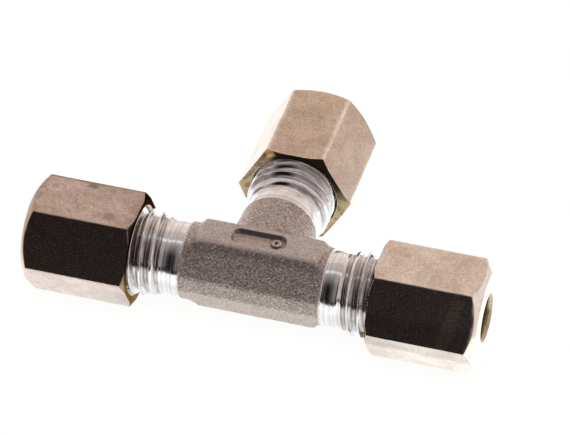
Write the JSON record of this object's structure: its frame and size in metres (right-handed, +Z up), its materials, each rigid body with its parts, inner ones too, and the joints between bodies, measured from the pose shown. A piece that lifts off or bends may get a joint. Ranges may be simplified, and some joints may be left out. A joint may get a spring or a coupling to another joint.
{
  "type": "compression tee fitting",
  "caption": "Equal tee union for rigid tube: forged body, threaded ends with sealing cones, loose cutting rings and hexagonal union nuts.",
  "frame": {"origin": "centre of the flat on the underside of the forging, 6 mm below the point where the three port axes cross", "axes": "+X along the run towards the right port, +Y along the branch port, +Z up, normal to the plane of the three ports"},
  "size_m": [0.0635, 0.0402, 0.014],
  "materials": {
    "forged_body": "shot-blasted stainless forging with bright turned ends",
    "nut": "turned stainless hexagon bar with a warm silvered sheen",
    "ring": "smooth turned stainless"
  },
  "bodies": {
    "tee": {"tee_body": "forged_body"},
    "left_ring": {"cutting_ring_left": "ring"},
    "left_nut": {"union_nut_left": "nut"},
    "right_ring": {"cutting_ring_right": "ring"},
    "right_nut": {"union_nut_right": "nut"},
    "branch_ring": {"cutting_ring_branch": "ring"},
    "branch_nut": {"union_nut_branch": "nut"}
  },
  "joints": [
    {"name": "left_ring_slide", "type": "slide", "parent": "tee", "child": "left_ring", "axis": [-1, 0, 0], "range_m": [-0.00189, 0.00239]},
    {"name": "left_nut_turn", "type": "hinge", "parent": "left_ring", "child": "left_nut", "pos_m": [-0.0247, 0, 0.006], "axis": [-1, 0, 0], "range_deg": [-450, 570]},
    {"name": "right_ring_slide", "type": "slide", "parent": "tee", "child": "right_ring", "axis": [1, 0, 0], "range_m": [-0.00189, 0.00239]},
    {"name": "right_nut_turn", "type": "hinge", "parent": "right_ring", "child": "right_nut", "pos_m": [0.02475, 0, 0.006], "axis": [1, 0, 0], "range_deg": [-450, 570]},
    {"name": "branch_ring_slide", "type": "slide", "parent": "tee", "child": "branch_ring", "axis": [0, 1, 0], "range_m": [-0.00227, 0.00202]},
    {"name": "branch_nut_turn", "type": "hinge", "parent": "branch_ring", "child": "branch_nut", "pos_m": [0, 0.02506, 0.006], "axis": [0, 1, 0], "range_deg": [-540, 480]}
  ],
  "couplings": [
    {"joint": "left_ring_slide", "follows": "left_nut_turn", "m_per_rad": 0.00023873},
    {"joint": "right_ring_slide", "follows": "right_nut_turn", "m_per_rad": 0.00023873},
    {"joint": "branch_ring_slide", "follows": "branch_nut_turn", "m_per_rad": 0.00023873}
  ]
}
